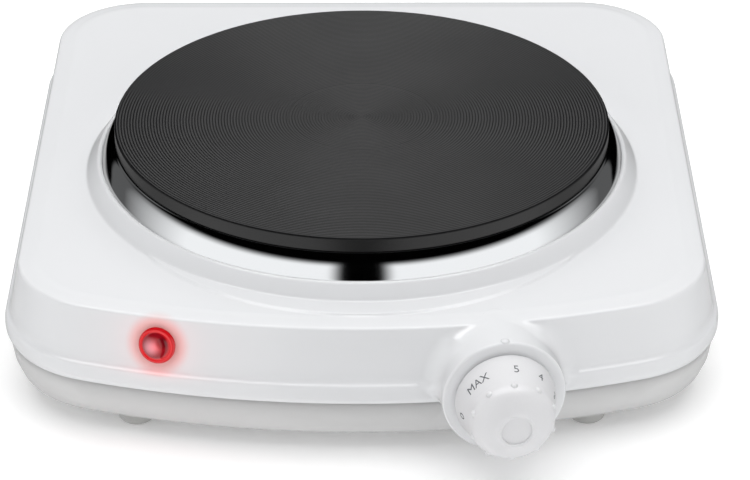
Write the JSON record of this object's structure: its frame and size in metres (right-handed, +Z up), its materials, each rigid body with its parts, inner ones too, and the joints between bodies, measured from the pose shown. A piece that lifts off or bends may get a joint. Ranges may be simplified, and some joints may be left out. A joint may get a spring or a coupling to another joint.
{
  "type": "electric hot plate",
  "caption": "Free-standing electric hot plate: round cast-iron plate on a white enamelled housing, with a thermostat knob and a red pilot lamp at the front.",
  "frame": {"origin": "the hot plate's axis at table level, which is also the centre of the overall footprint", "axes": "+Z up along the hot plate's axis; -Y is the front, with the knob at +X and the lamp at -X"},
  "size_m": [0.2584, 0.304, 0.07],
  "materials": {
    "white_enamel": "glossy white enamel on pressed steel",
    "base_enamel": "glossy off-white enamel on pressed steel",
    "cast_iron": "turned face, blackened with heat-proof lacquer",
    "chromed_steel": "polished",
    "resistance_wire": "oxidised winding",
    "magnesia": "pressed powder, matt",
    "ceramic": "unglazed steatite",
    "brass": "plain",
    "galvanised_steel": "galvanised sheet",
    "aluminised_steel": "aluminised sheet",
    "zinc_steel": "zinc plated",
    "spring_steel": "blued spring steel",
    "white_plastic": "moulded heat-proof plastic, soft gloss",
    "red_lens": "clear red moulding",
    "lamp_plastic": "moulded",
    "glow_glass": "clear glass",
    "foot_rubber": "light grey rubber",
    "gland_rubber": "light grey moulding",
    "brown_sleeving": "silicone sleeving",
    "blue_sleeving": "silicone sleeving",
    "earth_sleeving": "silicone sleeving"
  },
  "bodies": {
    "burner_body": {"base_pan": "base_enamel", "bimetal_strip": "spring_steel", "bushing_nut": "zinc_steel", "clamp_bridge": "galvanised_steel", "cord_gland": "gland_rubber", "earth_lead": "earth_sleeving", "earth_screw": "zinc_steel", "earth_tag": "brass", "fixed_contact_blade": "brass", "foot_front_left": "foot_rubber", "foot_front_right": "foot_rubber", "foot_rear_left": "foot_rubber", "foot_rear_right": "foot_rubber", "foot_screws": "zinc_steel", "heat_shield": "aluminised_steel", "heating_coil_inner": "resistance_wire", "heating_coil_middle": "resistance_wire", "heating_coil_outer": "resistance_wire", "hot_plate": "cast_iron", "lamp_body": "lamp_plastic", "lamp_lens": "red_lens", "lamp_live_lead": "brown_sleeving", "lamp_neutral_lead": "blue_sleeving", "lamp_resistor": "ceramic", "lamp_retainer": "spring_steel", "live_in_lead": "brown_sleeving", "live_out_lead": "brown_sleeving", "magnesia_filler": "magnesia", "mains_block": "ceramic", "mains_screws": "zinc_steel", "mains_sleeves": "brass", "moving_contact_blade": "brass", "neon_bulb": "glow_glass", "neutral_lead": "blue_sleeving", "plate_cover": "galvanised_steel", "plate_earth_lead": "earth_sleeving", "plate_pins": "brass", "plate_stud": "zinc_steel", "plate_terminal": "ceramic", "post_front_left": "galvanised_steel", "post_front_right": "galvanised_steel", "post_rear_left": "galvanised_steel", "post_rear_right": "galvanised_steel", "stack_insulators": "ceramic", "stack_rivet": "zinc_steel", "stud_nut": "zinc_steel", "stud_washer": "zinc_steel", "thermostat_bushing": "brass", "thermostat_frame": "galvanised_steel", "top_housing": "white_enamel", "trim_ring": "chromed_steel"},
    "knob": {"control_knob": "white_plastic", "knob_clip": "spring_steel", "thermostat_spindle": "zinc_steel"},
    "push_pin": {"push_pin": "ceramic"}
  },
  "joints": [
    {"name": "knob_turn", "type": "hinge", "parent": "burner_body", "child": "knob", "pos_m": [0.04932, -0.1289, 0.028], "axis": [-0.1494, 0.9888, 0], "range_deg": [-266, 44]},
    {"name": "pin_slide", "type": "slide", "parent": "burner_body", "child": "push_pin", "axis": [-0.1494, 0.9888, 0], "range_m": [-0.00115, 0.0002]}
  ],
  "couplings": [
    {"joint": "pin_slide", "follows": "knob_turn", "m_per_rad": 0.00023873}
  ]
}
